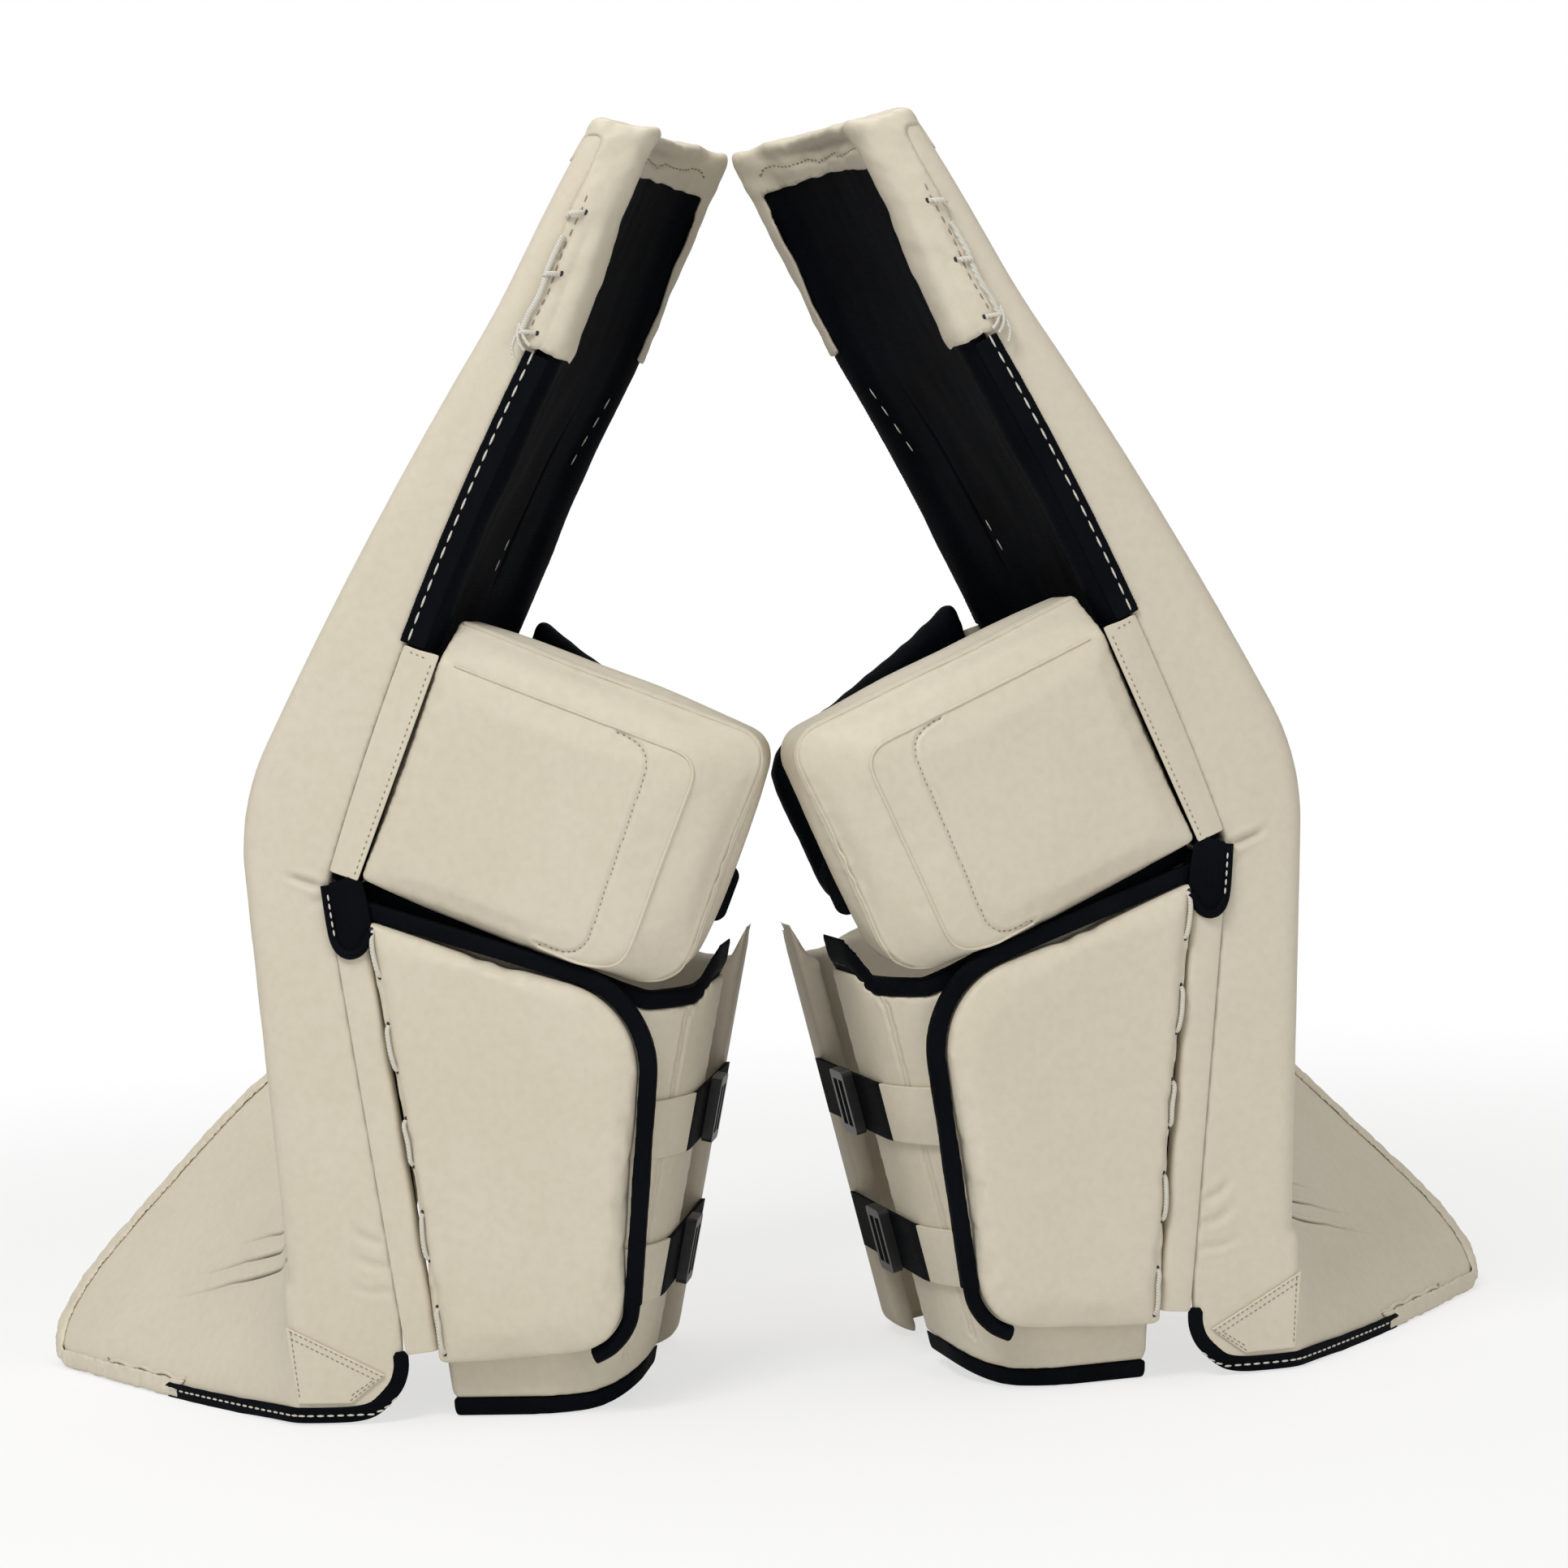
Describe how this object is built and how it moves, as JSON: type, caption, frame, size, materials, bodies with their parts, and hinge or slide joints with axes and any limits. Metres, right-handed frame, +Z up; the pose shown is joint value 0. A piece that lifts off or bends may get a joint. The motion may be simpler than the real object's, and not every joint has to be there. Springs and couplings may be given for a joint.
{
  "type": "goalie leg pads",
  "caption": "Pair of mirrored ice hockey goalie leg pads: tall bent face, wedge boot, knee blocks, curved calf wraps.",
  "frame": {"origin": "centre of the bounding box in X and Y, at the ice (Z = 0) the pads stand on", "axes": "+X towards the front of the left leg's pad, +Y from the pads' medial sides to their lateral sides, +Z up"},
  "size_m": [1.0118, 0.3762, 0.8039],
  "materials": {
    "leather": "satin",
    "lining": "matte",
    "foam": "matte",
    "binding": "matte",
    "webbing": "matte",
    "tab": "matte",
    "buckle": "satin",
    "lace": "matte"
  },
  "bodies": {
    "left_shin": {"left_shin_cover": "leather", "left_shin_core": "foam", "left_shin_liner": "lining", "left_shin_binding": "binding", "left_calf_strips": "leather", "left_outer_calf_wing": "leather"},
    "left_thigh": {"left_thigh_cover": "leather", "left_thigh_core": "foam", "left_thigh_liner": "lining", "left_thigh_binding": "binding", "left_thigh_cap": "leather", "left_cap_laces": "lace", "left_knee_strips": "leather"},
    "left_boot": {"left_boot_cover": "leather", "left_boot_core": "foam", "left_boot_wrap": "leather", "left_boot_binding": "binding", "left_boot_patch": "leather"},
    "left_knee_block": {"left_knee_block": "leather", "left_knee_strap": "webbing"},
    "left_knee_wing": {"left_knee_wing": "lining"},
    "left_calf_wrap": {"left_calf_wrap": "leather", "left_calf_wrap_binding": "binding", "left_calf_straps": "webbing", "left_strap_tabs": "tab", "left_strap_buckles": "buckle"},
    "left_calf_wing": {"left_calf_wing": "leather", "left_calf_wing_binding": "binding", "left_calf_lace": "lace"},
    "right_shin": {"right_shin_cover": "leather", "right_shin_core": "foam", "right_shin_liner": "lining", "right_shin_binding": "binding", "right_calf_strips": "leather", "right_outer_calf_wing": "leather"},
    "right_thigh": {"right_thigh_cover": "leather", "right_thigh_core": "foam", "right_thigh_liner": "lining", "right_thigh_binding": "binding", "right_thigh_cap": "leather", "right_cap_laces": "lace", "right_knee_strips": "leather"},
    "right_boot": {"right_boot_cover": "leather", "right_boot_core": "foam", "right_boot_wrap": "leather", "right_boot_binding": "binding", "right_boot_patch": "leather"},
    "right_knee_block": {"right_knee_block": "leather", "right_knee_strap": "webbing"},
    "right_knee_wing": {"right_knee_wing": "lining"},
    "right_calf_wrap": {"right_calf_wrap": "leather", "right_calf_wrap_binding": "binding", "right_calf_straps": "webbing", "right_strap_tabs": "tab", "right_strap_buckles": "buckle"},
    "right_calf_wing": {"right_calf_wing": "leather", "right_calf_wing_binding": "binding", "right_calf_lace": "lace"}
  },
  "joints": [
    {"name": "left_knee_flex", "type": "hinge", "parent": "left_shin", "child": "left_thigh", "pos_m": [0.321, 0.03175, 0.351], "axis": [-0.2588, 0.9659, 0], "range_deg": [0, 14]},
    {"name": "left_boot_flex", "type": "hinge", "parent": "left_shin", "child": "left_boot", "pos_m": [0.34152, -0.10769, 0.085], "axis": [0.2002, -0.8586, -0.472], "range_deg": [0, 14]},
    {"name": "left_knee_block_swing", "type": "hinge", "parent": "left_thigh", "child": "left_knee_block", "pos_m": [0.25751, -0.13487, 0.41093], "axis": [-0.3774, -0.1011, 0.9205], "range_deg": [0, 60]},
    {"name": "left_knee_wing_swing", "type": "hinge", "parent": "left_thigh", "child": "left_knee_wing", "pos_m": [0.18271, 0.14429, 0.41093], "axis": [0.3774, 0.1011, -0.9205], "range_deg": [0, 35]},
    {"name": "left_calf_wrap_swing", "type": "hinge", "parent": "left_shin", "child": "left_calf_wrap", "pos_m": [0.26592, -0.13261, 0.18096], "axis": [0.1211, 0.0324, 0.9921], "range_deg": [0, 9]},
    {"name": "left_calf_wing_swing", "type": "hinge", "parent": "left_calf_wrap", "child": "left_calf_wing", "pos_m": [0.26592, -0.13261, 0.18096], "axis": [0.1211, 0.0324, 0.9921], "range_deg": [0, 45]},
    {"name": "right_knee_flex", "type": "hinge", "parent": "right_shin", "child": "right_thigh", "pos_m": [-0.30771, -0.00953, 0.351], "axis": [-0.1219, -0.9925, 0], "range_deg": [0, 14]},
    {"name": "right_boot_flex", "type": "hinge", "parent": "right_shin", "child": "right_boot", "pos_m": [-0.30862, -0.15047, 0.085], "axis": [0.0787, 0.8781, 0.472], "range_deg": [0, 14]},
    {"name": "right_knee_block_swing", "type": "hinge", "parent": "right_thigh", "child": "right_knee_block", "pos_m": [-0.22164, -0.16568, 0.41093], "axis": [-0.3878, 0.0476, -0.9205], "range_deg": [0, 60]},
    {"name": "right_knee_wing_swing", "type": "hinge", "parent": "right_thigh", "child": "right_knee_wing", "pos_m": [-0.18642, 0.12117, 0.41093], "axis": [0.3878, -0.0476, 0.9205], "range_deg": [0, 35]},
    {"name": "right_calf_wrap_swing", "type": "hinge", "parent": "right_shin", "child": "right_calf_wrap", "pos_m": [-0.23029, -0.16462, 0.18096], "axis": [0.1244, -0.0153, -0.9921], "range_deg": [0, 9]},
    {"name": "right_calf_wing_swing", "type": "hinge", "parent": "right_calf_wrap", "child": "right_calf_wing", "pos_m": [-0.23029, -0.16462, 0.18096], "axis": [0.1244, -0.0153, -0.9921], "range_deg": [0, 45]},
    {"name": "pad_apart", "type": "slide", "parent": "left_shin", "child": "right_shin", "axis": [-1, 0, 0], "range_m": [0, 0.3]}
  ]
}
